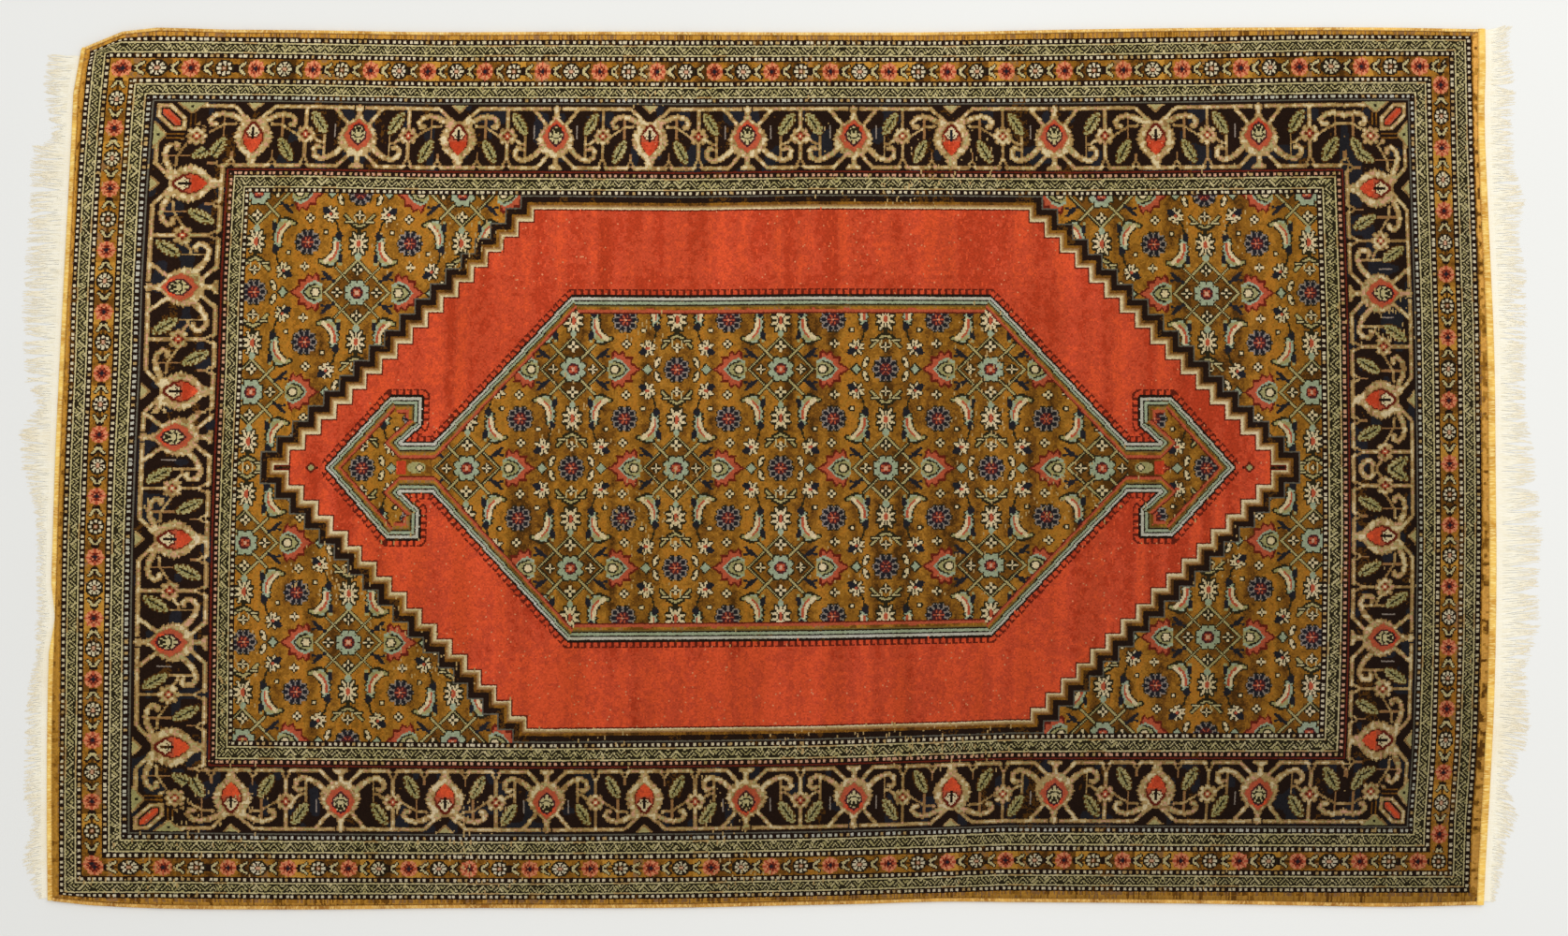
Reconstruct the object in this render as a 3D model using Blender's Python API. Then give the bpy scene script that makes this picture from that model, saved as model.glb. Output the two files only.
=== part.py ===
"""Hand-knotted rug lying flat, pile up, with its overcast edges and its warp fringe.

Metres, +Z up. Seen from above, +X runs along the rug's length and +Y across it. The underside is at z = 0.
The edge tables hold the outline as the rug lies: the left end slants, and its upper corner is worn round.
"""

import random

import bmesh
import bpy
import numpy as np

MM = 0.001
GAP = 0.3 * MM  # between pieces that touch

# Thicknesses
PILE_HEIGHT = 8.0 * MM
PILE_RIPPLE = 0.7 * MM
PILE_SHOULDER = 2.5 * MM  # the pile's edge slopes in by this much
SHOULDER_HEIGHT = 5.5 * MM
CORD_HEIGHT = 6.5 * MM
WEB_THICKNESS = 2.0 * MM

# Widths of the edge finishes
TOP_CORD_WIDTH = 5.5 * MM
BOTTOM_CORD_WIDTH = 6.5 * MM
LEFT_BAND_WIDTH = 8.0 * MM
RIGHT_BAND_WIDTH = 11.5 * MM
WEB_WIDTH = 15.0 * MM

# Rows along and across the pile's surface
PILE_COLUMNS = 40
PILE_ROWS = 24

# Fringe
STRANDS_PER_END = 110
STRAND_SHARE = 0.62  # of the pitch, at the root
STRAND_TIP_SHARE = 0.45  # of the strand's root width and thickness
STRAND_SEGMENTS = 3
STRAND_LENGTH_JITTER = 3.0 * MM
STRAND_SWEEP_JITTER = 0.03
FRINGE_SEED = 11

# The outline in mm. Long edges: along the rug, edge. Ends: across the rug, edge.
TOP_EDGE = (
    (-1051, 613), (-1039, 627), (-1022, 637), (-991, 647), (-969, 651), (-832, 651), (-692, 650),
    (-552, 647.5), (-272, 648), (8, 647), (218, 647), (428, 651), (568, 653), (778, 654.5),
    (918, 654), (1055, 651.5),
)
BOTTOM_EDGE = (
    (-1099, -653), (-1070, -657.5), (-1042, -660), (-972, -664), (-762, -667), (-482, -665),
    (-132, -664), (8, -661), (148, -658), (218, -655.5), (358, -656), (638, -658.5), (778, -661),
    (918, -663), (1054, -660),
)
LEFT_EDGE = (
    (-653, -1098), (-545, -1099), (-356, -1098), (-167, -1092), (22, -1086), (211, -1077),
    (400, -1067), (515, -1061), (582, -1057), (613, -1051), (624, -1046),
)
RIGHT_EDGE = (
    (-660, 1053), (-594, 1056), (-482, 1062.5), (-370, 1068), (-258, 1071), (-146, 1072), (-34, 1071),
    (190, 1068), (302, 1063), (414, 1058), (526, 1054), (624, 1056), (652, 1055),
)

# How far the warp ends reach, in mm: across the rug, tip, and how much a strand sweeps up the rug
# for each mm that it runs outward.
LEFT_FRINGE = (
    (-650, -1112, -0.30), (-587, -1137, -0.25), (-531, -1120, -0.25), (-496, -1134, -0.25),
    (-356, -1131, -0.18), (-286, -1117, -0.05), (-146, -1114, 0.0), (-62, -1119, 0.0), (-6, -1137, 0.0),
    (50, -1141, 0.02), (85, -1113, 0.0), (134, -1133, -0.05), (218, -1137, 0.0), (316, -1131, 0.0),
    (393, -1126, 0.02), (470, -1123, 0.05), (487, -1092, 0.0), (526, -1098, -0.10), (568, -1105, 0.05),
    (615, -1098, 0.05),
)
RIGHT_FRINGE = (
    (-655, 1071, -0.15), (-608, 1081, -0.20), (-559, 1091, -0.25), (-510, 1105, -0.35),
    (-475, 1089, -0.25), (-426, 1113, -0.20), (-377, 1124, -0.10), (-307, 1116, 0.05),
    (-237, 1140, 0.05), (-202, 1133, 0.10), (-118, 1142, 0.05), (-62, 1137, 0.0), (22, 1130, 0.0),
    (78, 1116, -0.05), (288, 1117, -0.05), (344, 1106, 0.0), (393, 1117, 0.05), (442, 1100, 0.0),
    (512, 1095, 0.0), (561, 1102, 0.05), (610, 1091, 0.15), (650, 1095, 0.35),
)

# Colours: linear red, green, blue, and roughness
WOOL_PILE = ((0.21, 0.07, 0.03), 0.95)
PALE_GOLD_WOOL = ((0.62, 0.42, 0.18), 0.85)
GOLD_WOOL = ((0.78, 0.52, 0.15), 0.85)
CREAM_COTTON = ((0.85, 0.80, 0.66), 0.90)


def curve(rows, at, column=1):
    """A smooth curve through the table's rows, read at one place, in metres."""
    along = [row[0] for row in rows]
    across = [row[column] for row in rows]
    place = float(np.clip(at / MM, along[0], along[-1]))
    i = int(np.clip(np.searchsorted(along, place) - 1, 0, len(rows) - 2))
    step = along[i + 1] - along[i]
    t = (place - along[i]) / step
    slopes = np.gradient(across, along)
    hermite = (
        (2 * t**3 - 3 * t**2 + 1) * across[i]
        + (t**3 - 2 * t**2 + t) * step * slopes[i]
        + (3 * t**2 - 2 * t**3) * across[i + 1]
        + (t**3 - t**2) * step * slopes[i + 1]
    )
    return float(hermite) * MM


def material(name, finish):
    """A plain Principled material."""
    colour, roughness = finish
    made = bpy.data.materials.new(name)
    made.use_nodes = True
    shader = made.node_tree.nodes["Principled BSDF"]
    shader.inputs["Base Color"].default_value = (*colour, 1.0)
    shader.inputs["Roughness"].default_value = roughness
    shader.inputs["Metallic"].default_value = 0.0
    return made


def finish_object(name, shape, surface):
    """A bmesh becomes a named object with outward faces."""
    bmesh.ops.recalc_face_normals(shape, faces=shape.faces)
    mesh = bpy.data.meshes.new(name)
    shape.to_mesh(mesh)
    shape.free()
    mesh.materials.append(surface)
    made = bpy.data.objects.new(name, mesh)
    bpy.context.scene.collection.objects.link(made)
    return made


def ripple(x, y):
    """The pile's gentle unevenness, from -1 to 1."""
    return 0.6 * np.sin(9.0 * x + 1.5 * y) + 0.4 * np.sin(5.0 * x - 7.0 * y + 1.0)


def body_point(u, v, inset=0.0):
    """A point of the knotted body, from (0, 0) at its lower left corner to (1, 1)."""
    clear = GAP + inset
    y = 0.0
    for _ in range(4):  # x depends a little on y, and y on x
        left = curve(LEFT_EDGE, y) + LEFT_BAND_WIDTH + clear
        right = curve(RIGHT_EDGE, y) - RIGHT_BAND_WIDTH - clear
        x = left + (right - left) * u
        bottom = curve(BOTTOM_EDGE, x) + BOTTOM_CORD_WIDTH + clear
        top = curve(TOP_EDGE, x) - TOP_CORD_WIDTH - clear
        y = bottom + (top - bottom) * v
    return x, y


def make_body():
    """The knotted body: a rippled top, sloping shoulders, upright sides and a flat underside."""
    shape = bmesh.new()
    bmesh.ops.create_grid(shape, x_segments=PILE_COLUMNS, y_segments=PILE_ROWS, size=0.5)
    places = {vert: (vert.co.x + 0.5, vert.co.y + 0.5) for vert in shape.verts}
    for vert, (u, v) in places.items():
        x, y = body_point(u, v, PILE_SHOULDER)
        vert.co = (x, y, PILE_HEIGHT + PILE_RIPPLE * ripple(x, y))
    rim = [edge for edge in shape.edges if edge.is_boundary]
    for height in (SHOULDER_HEIGHT, 0.0):
        made = bmesh.ops.extrude_edge_only(shape, edges=rim)["geom"]
        for vert in [part for part in made if isinstance(part, bmesh.types.BMVert)]:
            near = min(places, key=lambda known: (known.co.xy - vert.co.xy).length)
            u, v = places[near]
            x, y = body_point(u, v)
            vert.co = (x, y, height)
            places[vert] = (u, v)
        rim = [part for part in made if isinstance(part, bmesh.types.BMEdge)]
    bmesh.ops.contextual_create(shape, geom=rim)
    return finish_object("rug_body", shape, material("wool_pile", WOOL_PILE))


def loft(shape, rings):
    """A closed tube through rings of points, with flat ends."""
    loops = [[shape.verts.new(point) for point in ring] for ring in rings]
    count = len(loops[0])
    for near, far in zip(loops, loops[1:]):
        for i in range(count):
            j = (i + 1) % count
            shape.faces.new((near[i], near[j], far[j], far[i]))
    shape.faces.new(loops[0])
    shape.faces.new(list(reversed(loops[-1])))


# The section of an overcast edge: share of its width, share of its height
CORD_SECTION = ((0.15, 0.0), (0.85, 0.0), (1.0, 0.45), (0.78, 1.0), (0.22, 1.0), (0.0, 0.45))


def make_cord(name, edge, v, outward, surface):
    """An overcast cord along a long edge, between the two end bands."""
    shape = bmesh.new()
    rings = []
    for i in range(PILE_COLUMNS + 1):
        x, inner = body_point(i / PILE_COLUMNS, v)
        inner += outward * GAP
        outer = curve(edge, x)
        rings.append([(x, inner + (outer - inner) * across, up * CORD_HEIGHT) for across, up in CORD_SECTION])
    loft(shape, rings)
    return finish_object(name, shape, surface)


def end_stations(edge, u, outward):
    """Places across the rug at one end: (y, the end band's inner x, its outer x)."""
    stations = []
    for j in range(PILE_ROWS + 1):
        inner, y = body_point(u, j / PILE_ROWS)
        stations.append((y, inner + outward * GAP, curve(edge, y)))
    for y, near in ((edge[0][0] * MM, 0), (edge[-1][0] * MM, -1)):
        corner = (y, stations[near][1], curve(edge, y))
        stations.insert(0 if near == 0 else len(stations), corner)
    return stations


def make_band(name, stations, surface):
    """The gold band worked over an end, from corner to corner."""
    shape = bmesh.new()
    rings = []
    for y, inner, outer in stations:
        rings.append([(inner + (outer - inner) * across, y, up * CORD_HEIGHT) for across, up in CORD_SECTION])
    loft(shape, rings)
    return finish_object(name, shape, surface)


def strand_rings(root, length, sweep, outward):
    """The corner points of one strand past its root, thinner towards its tip."""
    low, high = root
    centre = (low + high) / 2
    rings = []
    for i in range(1, STRAND_SEGMENTS + 1):
        share = i / STRAND_SEGMENTS
        taper = 1.0 - (1.0 - STRAND_TIP_SHARE) * share
        half = (high[1] - low[1]) / 2 * taper
        x = centre[0] + outward * length * share
        y = centre[1] + sweep * length * share * (0.5 + 0.5 * share)
        top = WEB_THICKNESS * taper
        rings.append(((x, y - half, 0.0), (x, y + half, 0.0), (x, y + half, top), (x, y - half, top)))
    return rings


def make_fringe(name, band, fringe, outward, surface):
    """The web strip past an end band, with the warp ends that leave it."""
    source = random.Random(FRINGE_SEED + outward)
    shape = bmesh.new()
    band_places = [y for y, _, _ in band]
    band_edge = [outer for _, _, outer in band]
    first, last = band_places[0], band_places[-1]
    pitch = (last - first) / STRANDS_PER_END
    margin = pitch * (1.0 - STRAND_SHARE) / 2
    stations = [first]
    for i in range(STRANDS_PER_END):
        stations += [first + i * pitch + margin, first + (i + 1) * pitch - margin]
    stations.append(last)
    rings = []
    for y in stations:
        inner = float(np.interp(y, band_places, band_edge)) + outward * GAP
        outer = inner + outward * WEB_WIDTH
        corners = ((inner, y, 0.0), (outer, y, 0.0), (outer, y, WEB_THICKNESS), (inner, y, WEB_THICKNESS))
        rings.append([shape.verts.new(corner) for corner in corners])
    for k, (near, far) in enumerate(zip(rings, rings[1:])):
        for i, j in ((0, 1), (1, 2), (2, 3), (3, 0)):
            if (i, j) != (1, 2) or k % 2 == 0:
                shape.faces.new((near[i], near[j], far[j], far[i]))
        if k % 2 == 1:
            root = (near[1].co.copy(), far[1].co.copy())
            y = (root[0].y + root[1].y) / 2
            reach = abs(curve(fringe, y) - (root[0].x + root[1].x) / 2)
            length = reach + source.uniform(-1, 1) * STRAND_LENGTH_JITTER
            sweep = curve(fringe, y, 2) / MM + source.uniform(-1, 1) * STRAND_SWEEP_JITTER
            loop = [near[1], far[1], far[2], near[2]]
            for ring in strand_rings(root, length, sweep, outward):
                verts = [shape.verts.new(point) for point in ring]
                for i in range(4):
                    j = (i + 1) % 4
                    shape.faces.new((loop[i], loop[j], verts[j], verts[i]))
                loop = verts
            shape.faces.new(loop)
    shape.faces.new(rings[0])
    shape.faces.new(list(reversed(rings[-1])))
    return finish_object(name, shape, surface)


def centre_on_origin(pieces):
    """Moves the rug so that the middle of its outline is over the origin."""
    points = np.array([vert.co for piece in pieces for vert in piece.data.vertices])
    middle = (points.min(axis=0) + points.max(axis=0)) / 2
    for piece in pieces:
        for vert in piece.data.vertices:
            vert.co.x -= middle[0]
            vert.co.y -= middle[1]


for leftover in list(bpy.data.objects):
    bpy.data.objects.remove(leftover)

pale_gold = material("pale_gold_wool", PALE_GOLD_WOOL)
gold = material("gold_wool", GOLD_WOOL)
cream = material("cream_cotton", CREAM_COTTON)
left_end = end_stations(LEFT_EDGE, 0.0, -1)
right_end = end_stations(RIGHT_EDGE, 1.0, 1)
rug = [
    make_body(),
    make_cord("selvedge_top", TOP_EDGE, 1.0, 1, pale_gold),
    make_cord("selvedge_bottom", BOTTOM_EDGE, 0.0, -1, pale_gold),
    make_band("end_band_left", left_end, gold),
    make_band("end_band_right", right_end, gold),
    make_fringe("fringe_left", left_end, LEFT_FRINGE, -1, cream),
    make_fringe("fringe_right", right_end, RIGHT_FRINGE, 1, cream),
]
centre_on_origin(rug)
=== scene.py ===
"""Looks for a hand-knotted wool rug that lies flat on a pale floor and is seen from straight above.

Metres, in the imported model's frame: +X along the rug, +Y across it, +Z up. Tables of places on the rug
are in millimetres, and the pattern is counted in knots.
"""

import bmesh
import bpy
import numpy as np
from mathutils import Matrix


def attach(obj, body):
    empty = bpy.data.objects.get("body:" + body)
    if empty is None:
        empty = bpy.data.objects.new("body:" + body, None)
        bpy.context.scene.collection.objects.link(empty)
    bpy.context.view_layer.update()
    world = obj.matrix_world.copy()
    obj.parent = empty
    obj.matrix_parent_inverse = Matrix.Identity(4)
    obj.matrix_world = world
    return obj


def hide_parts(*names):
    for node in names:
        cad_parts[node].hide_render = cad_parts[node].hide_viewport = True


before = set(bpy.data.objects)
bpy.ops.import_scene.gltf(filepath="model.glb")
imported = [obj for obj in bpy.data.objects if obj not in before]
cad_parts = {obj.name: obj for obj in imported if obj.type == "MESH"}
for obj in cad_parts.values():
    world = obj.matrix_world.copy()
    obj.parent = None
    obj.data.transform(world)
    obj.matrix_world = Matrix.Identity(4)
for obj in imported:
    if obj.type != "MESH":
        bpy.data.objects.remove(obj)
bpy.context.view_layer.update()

# ---- Knotted pile -----------------------------------------------------------------------------
# The body of the rug: wool knots tied in rows on a cotton foundation, packed down and sheared level.
# Each knot is one colour of yarn, so the pattern is a chart that gives every knot its yarn number.

MM = 0.001
KNOT_COLUMNS = 1028  # along the rug
KNOT_ROWS = 636  # across it
HALF_COLUMNS, HALF_ROWS = KNOT_COLUMNS / 2, KNOT_ROWS / 2

YARN_COLOURS = {  # as sRGB, 0 to 255
    "black": (34, 20, 13),
    "navy": (33, 32, 38),
    "dark green": (42, 36, 20),
    "dark red": (100, 32, 18),
    "brick red": (198, 74, 45),
    "madder": (183, 62, 34),
    "pale red": (216, 82, 46),
    "rose": (177, 82, 55),
    "salmon": (214, 136, 98),
    "pink": (200, 152, 124),
    "umber": (80, 50, 14),
    "brown": (112, 72, 22),
    "light brown": (146, 106, 66),
    "ochre": (139, 93, 28),
    "gold": (161, 111, 38),
    "orange": (170, 112, 36),
    "olive": (112, 92, 44),
    "tan": (144, 112, 68),
    "camel": (177, 148, 99),
    "cream": (212, 194, 156),
    "ivory": (208, 196, 168),
    "straw": (191, 178, 133),
    "meadow": (170, 159, 110),
    "sage": (156, 150, 102),
    "sky": (152, 163, 138),
    "grey": (136, 124, 116),
    "plum": (70, 32, 36),
    "deep gold": (188, 136, 54),
    "amber": (232, 172, 84),
    "silver": (184, 182, 170),
    "slate": (92, 88, 78),
}
YARN = {name: number for number, name in enumerate(YARN_COLOURS)}

along, across = np.meshgrid(
    np.arange(KNOT_COLUMNS) + 0.5 - HALF_COLUMNS, np.arange(KNOT_ROWS) + 0.5 - HALF_ROWS
)
chart = np.full(along.shape, YARN["black"])


def drift(knots_long, knots_high, seed):
    """A smooth random field over the whole chart, from 0 to 1, in blotches of about this size."""
    chance = np.random.default_rng(seed)
    spots = chance.uniform(size=(int(KNOT_ROWS / knots_high) + 3, int(KNOT_COLUMNS / knots_long) + 3))
    x = (along + HALF_COLUMNS) / knots_long
    y = (across + HALF_ROWS) / knots_high
    column, row = x.astype(int), y.astype(int)
    x, y = x - column, y - row
    x, y = x * x * (3 - 2 * x), y * y * (3 - 2 * y)
    near = spots[row, column] * (1 - x) + spots[row, column + 1] * x
    far = spots[row + 1, column] * (1 - x) + spots[row + 1, column + 1] * x
    return near * (1 - y) + far * y


def turned(x, y, degrees):
    turn = np.radians(degrees)
    return x * np.cos(turn) + y * np.sin(turn), y * np.cos(turn) - x * np.sin(turn)


def disc(x, y, radius):
    return x * x + y * y < radius * radius


def box(x, y, left, right, low, high):
    return (x > left) & (x < right) & (y > low) & (y < high)


def oval(x, y, wide, high, degrees=0.0):
    p, q = turned(x, y, degrees)
    return (p / wide) ** 2 + (q / high) ** 2 < 1


def lozenge(x, y, reach, high=None):
    return np.abs(x) / reach + np.abs(y) / (high or reach) < 1


def petals(x, y, count, reach, length, width, start=0.0):
    """Ovals set in a ring, each pointing out from the middle."""
    step = 2 * np.pi / count
    bearing = (np.arctan2(y, x) - np.radians(start) + step / 2) % step - step / 2
    out = np.hypot(x, y)
    return oval(out * np.cos(bearing) - reach, out * np.sin(bearing), length, width)


def line(x, y, points, width, end_width=None):
    """A drawn line through the points, which may narrow or widen to its end."""
    found = np.zeros(np.shape(x), bool)
    legs = len(points) - 1
    end_width = width if end_width is None else end_width
    for leg, ((ax, ay), (bx, by)) in enumerate(zip(points, points[1:])):
        run_x, run_y = bx - ax, by - ay
        share = ((x - ax) * run_x + (y - ay) * run_y) / (run_x**2 + run_y**2)
        share = np.clip(share, 0, 1)
        reach = width + (end_width - width) * (leg + share) / legs
        found |= np.hypot(x - ax - share * run_x, y - ay - share * run_y) < reach / 2
    return found


def polygon(x, y, corners):
    found = np.zeros(np.shape(x), bool)
    for (ax, ay), (bx, by) in zip(corners, corners[1:] + corners[:1]):
        if ay != by:
            found ^= ((ay > y) != (by > y)) & (x < ax + (bx - ax) * (y - ay) / (by - ay))
    return found


def jagged(along_edge, depth=1.3, step=3.4):
    """The saw-toothed edge of a palmette or a leaf."""
    return depth * np.abs(2 * ((along_edge / step) % 1) - 1)


def toothed(x, y, corners):
    return polygon(x + jagged(y), y, corners)


def tie(part, x, y, *shapes, where=True):
    """Ties shapes one over another. Each is its yarn, its function above, and its sizes in knots."""
    for yarn, shape, *sizes in shapes:
        part[shape(x, y, *sizes) & where] = YARN[yarn]


# Narrow stripes

STRIPES = (  # from the rug's edge inward: what it holds, and how many knots wide
    ("edge", 5),
    ("ivory dots", 4),
    ("meander", 8),
    ("ivory dots", 4),
    ("flowers", 14),
    ("ivory dots", 4),
    ("meander", 8),
    ("silver dots", 4),
    ("line", 2),
    ("palmettes", 49),
    ("red line", 1),
    ("pink dots", 4),
    ("meander", 9),
    ("ivory dots", 4),
)
BORDER_DEPTH = sum(knots for _, knots in STRIPES)
MEANDER_STEP = 5.35  # knots to each hook
DOT_STEP = 4.3
EDGE_YARNS = ("gold", "gold", "deep gold", "light brown")
FLOWER_RUNS = {  # the first red flower, and the step from one red flower to the next
    "top": (-484, 43.4),
    "bottom": (-484, 43.4),
    "left": (290, -44.4),
    "right": (277, -45.7),
}
GUARD_CORNER = 28  # the flower at the bottom right corner lies this far in from both edges
FLOWER_GROUNDS = ("gold", "deep gold", "gold", "ochre", "ochre", "brown")
RED_FLOWER = (  # here and in the tables like it: yarn, shape, and the shape's sizes
    ("salmon", disc, 6.1),
    ("rose", petals, 8, 4.6, 2.6, 0.6),
    ("dark red", petals, 8, 2.6, 1.3, 0.6, 22.5),
    ("plum", disc, 1.7),
    ("navy", disc, 1.1),
)
WHITE_FLOWER = (
    ("dark green", disc, 6.4),
    ("ivory", disc, 5.1),
    ("black", petals, 8, 4.4, 2.6, 0.74, 22.5),
    ("umber", disc, 2.2),
    ("pink", disc, 1.4),
)
LEAF_PAIR = (
    ("umber", line, ((-8, 0), (8, 0)), 1.1),
    ("black", line, ((-2.6, 0.8), (0, 1.8), (2.6, 4)), 4, 3.2),
    ("straw", line, ((-1.4, 1.3), (0.4, 2.4), (2.4, 4)), 2, 1.4),
)

end_depth = HALF_COLUMNS - np.abs(along)
side_depth = HALF_ROWS - np.abs(across)
on_end = end_depth < side_depth
depth = np.minimum(end_depth, side_depth)
run = np.where(on_end, across, along)
SIDES = {
    "top": ~on_end & (across > 0),
    "bottom": ~on_end & (across < 0),
    "left": on_end & (along < 0),
    "right": on_end & (along > 0),
}
stray = np.random.default_rng(5).uniform(size=chart.shape)
fine_drift = drift(3, 3, 11)
mid_drift = drift(9, 14, 12)


def dot_row(row, run, yarn, number):
    """Square dots, two knots by two, which wander and fade a little, as tied by hand."""
    chance = np.random.default_rng(70 + number).uniform(size=(2, 400))
    place = run / DOT_STEP + 150
    which = np.floor(place).astype(int)
    share = place - which - 0.5 + (chance[0, which] - 0.5) * 0.22
    part = np.full(row.shape, YARN["black"])
    is_dot = box(share, row, -0.24, 0.24, 0.9, 3.1)
    part[is_dot] = YARN[yarn]
    part[is_dot & (chance[1, which] > 0.86)] = YARN["camel"]
    return part


def meander_row(row, run, number, depth):
    """Dark strokes in close zigzags, joined by turns at their ends, on a pale ground."""
    chance = np.random.default_rng(40 + number).uniform(size=(2, 300))
    place = run / (2 * MEANDER_STEP) + 120 + 0.2 * np.sin(run / 23)
    which = np.floor(place).astype(int)
    y = row - depth / 2 + (chance[0, which] - 0.5) * 1.2
    zigzag = np.abs((place - which) * 4 - 2) - 1
    stroke = ((y - 2.9 * zigzag) / 3.15 + (chance[1, which] > 0.7) * 0.5 + 20) % 2
    dark = stroke % 1 < 0.6
    dark |= (y > 2.0) & (stroke > 0.5) & (stroke < 1.0)
    dark |= (y < -2.0) & (stroke > 1.5)
    edge = (row < 1) | (row > depth - 1)
    part = np.where(stroke < 1, YARN["meadow"], YARN["straw"])
    part[edge] = np.where(chance[0, which] > 0.8, YARN["camel"], YARN["straw"])[edge]
    part[dark & ~edge] = YARN["dark green"]
    return part


def flower_row(row, run, first, step, seed, leaves_turn):
    """Red and cream flowers by turns, with a pair of leaves between, on a ground that changes tone."""
    place = (run - first) / (step / 2)
    tones = np.random.default_rng(seed).integers(0, len(FLOWER_GROUNDS), 400)
    tones = np.array([YARN[name] for name in FLOWER_GROUNDS])[tones]
    part = tones[np.floor(place * 2 + 0.18).astype(int) + 150]
    number = np.round(place).astype(int)
    leaf_number = np.floor(place).astype(int)
    x = (place - number) * abs(step) / 2
    y = row - 7
    turn = np.where(leaves_turn & (leaf_number % 2 == 1), -1, 1)
    gap = (place - leaf_number - 0.5) * abs(step) / 2 * turn
    tie(part, gap, np.abs(y), *LEAF_PAIR)
    tie(part, x, y, *RED_FLOWER, where=number % 2 == 0)
    tie(part, x, y, *WHITE_FLOWER, where=number % 2 == 1)
    return part


start = 0
for number, (name, knots) in enumerate(STRIPES):
    here = (depth > start) & (depth < start + knots)
    row = depth - start
    if name == "edge":
        streaks = np.random.default_rng(3).integers(0, 4, KNOT_COLUMNS)[(run + HALF_COLUMNS).astype(int)]
        streaks[on_end] = (fine_drift[on_end] * 2.6).astype(int)
        for streak, yarn in enumerate(EDGE_YARNS):
            chart[here & (streaks == streak)] = YARN[yarn]
        chart[here & SIDES["bottom"] & (depth < 2) & (streaks > 0)] = YARN["deep gold"]
        chart[here & SIDES["top"] & (streaks == 0)] = YARN["deep gold"]
        chart[here & on_end & (depth < 4) & (fine_drift > 0.3)] = YARN["deep gold"]
        chart[here & SIDES["right"] & (depth < 4) & (fine_drift > 0.45)] = YARN["amber"]
    elif name.endswith("dots"):
        chart[here] = dot_row(row, run, name.split()[0], number)[here]
    elif name == "meander":
        chart[here] = meander_row(row, run, number, knots)[here]
    elif name == "line":
        chart[here] = np.where(row < 1, YARN["slate"], YARN["black"])[here]
    elif name == "red line":
        chart[here] = YARN["dark red"]
    elif name == "flowers":
        for seed, (side, (first, step)) in enumerate(FLOWER_RUNS.items()):
            there = here & SIDES[side]
            chart[there] = flower_row(row[there], run[there], first, step, seed, side in ("left", "right"))
    elif name == "palmettes":
        PALMETTE_START = start
        main_border = here
    start += knots

x, y = along - HALF_COLUMNS + GUARD_CORNER, across + HALF_ROWS - GUARD_CORNER
tie(chart, x, y, ("ochre", box, -7, 7, -7, 7), *WHITE_FLOWER)

# Main border. Its palmettes are charted from their middle line, and from the rug's outer side inward.

HALF_REPEAT = 37.5  # knots from a palmette's middle to the next flower's
CORNER_FLOWER = 437  # how far along the rug the corners' flowers stand
LAST_FLOWER = 390.5  # and the flower before them, at the right
CORNER_SIZE = 50  # knots in from the main border's two outer sides
LONG_PALMETTES = ((-395, -241, -98, 126, 277), (-316, -168, -25, 54, 202, 353))
PALMETTES = {  # along each side: the red palmettes, and the white-flowered ones
    "top": LONG_PALMETTES,
    "bottom": LONG_PALMETTES,
    "left": ((205, 55, -52, -203), (130, 22, -127)),
    "right": ((202, 49, -51, -203), (126, -127)),
}
RED_STRAPS = (
    ("tan", box, 15, 99, 1, 4),
    ("tan", line, ((15.5, 2.6), (4, 12.5)), 2.8),
    ("tan", polygon, ((-1, 0), (7, 0), (-1, 7.5))),
    ("meadow", polygon, ((-1, 0.5), (4.4, 0.5), (-1, 5.5))),
    ("tan", box, -9, 99, 45, 48.3),
    ("light brown", line, ((15, 36), (15, 41)), 1.2),
    ("tan", line, ((12, 45.5), (15, 41), (18, 45.5)), 1.5),
    ("black", polygon, ((12, 49), (18, 49), (15, 45.5))),
    ("light brown", line, ((20.5, 9), (20.5, 28)), 1.8),
    ("camel", line, ((13, 15.5), (20, 16), (31, 23)), 2.2, 1.5),
)
RED_VOLUTE = ((8, 13), (12, 11.5), (17, 9), (22, 8.3), (27, 9.5), (30, 13), (28.5, 16.5), (26, 16))
RED_BODY = (
    (-1, 11.5), (4, 12), (8, 12), (10.5, 15), (13.5, 20), (15, 26), (13.5, 31), (9, 36.5),
    (5, 40), (3.6, 44), (5, 46), (-1, 46),
)
HEART = ((-1, 12.5), (3.2, 15.8), (6.8, 20.8), (7.8, 26), (6.6, 30.5), (3.2, 35), (-1, 38))
RED_BUD = (
    ("dark red", polygon, ((-1, 14.6), (1, 14.6), (6.2, 21.6), (3, 26.5), (-1, 26.5))),
    ("cream", polygon, ((-1, 16), (0.6, 16), (5, 21.6), (2, 25.4), (-1, 25.4))),
    ("black", line, ((0, 19), (0, 26)), 1.6),
    ("black", line, ((0, 24.5), (2.8, 22.4)), 1.2),
)
WHITE_STRAPS = (
    ("tan", box, 4, 99, 1, 4),
    ("tan", line, ((17, 3.5), (7.5, 15)), 3),
    ("tan", polygon, ((-1, 0), (3.4, 1), (2.4, 5), (1.8, 11), (-1, 11))),
    ("tan", box, 14, 99, 45, 48.3),
    ("tan", line, ((4.5, 36), (14.5, 46.5)), 3),
    ("tan", polygon, ((-1, 38), (1.8, 40), (2, 43.5), (5.5, 46), (5.5, 48.3), (-1, 48.3))),
    ("grey", line, ((17, 15), (17, 25)), 0.9),
    ("tan", line, ((23.5, 18), (23.5, 40)), 1.6),
    ("camel", line, ((32, 25), (27.5, 28.5), (24, 29)), 2.6, 1.8),
)
WHITE_VOLUTE = ((11, 32), (16, 37), (21, 40), (26, 41.3), (30.5, 38.5), (31, 34), (28.8, 31.3), (26.6, 32.6))
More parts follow.
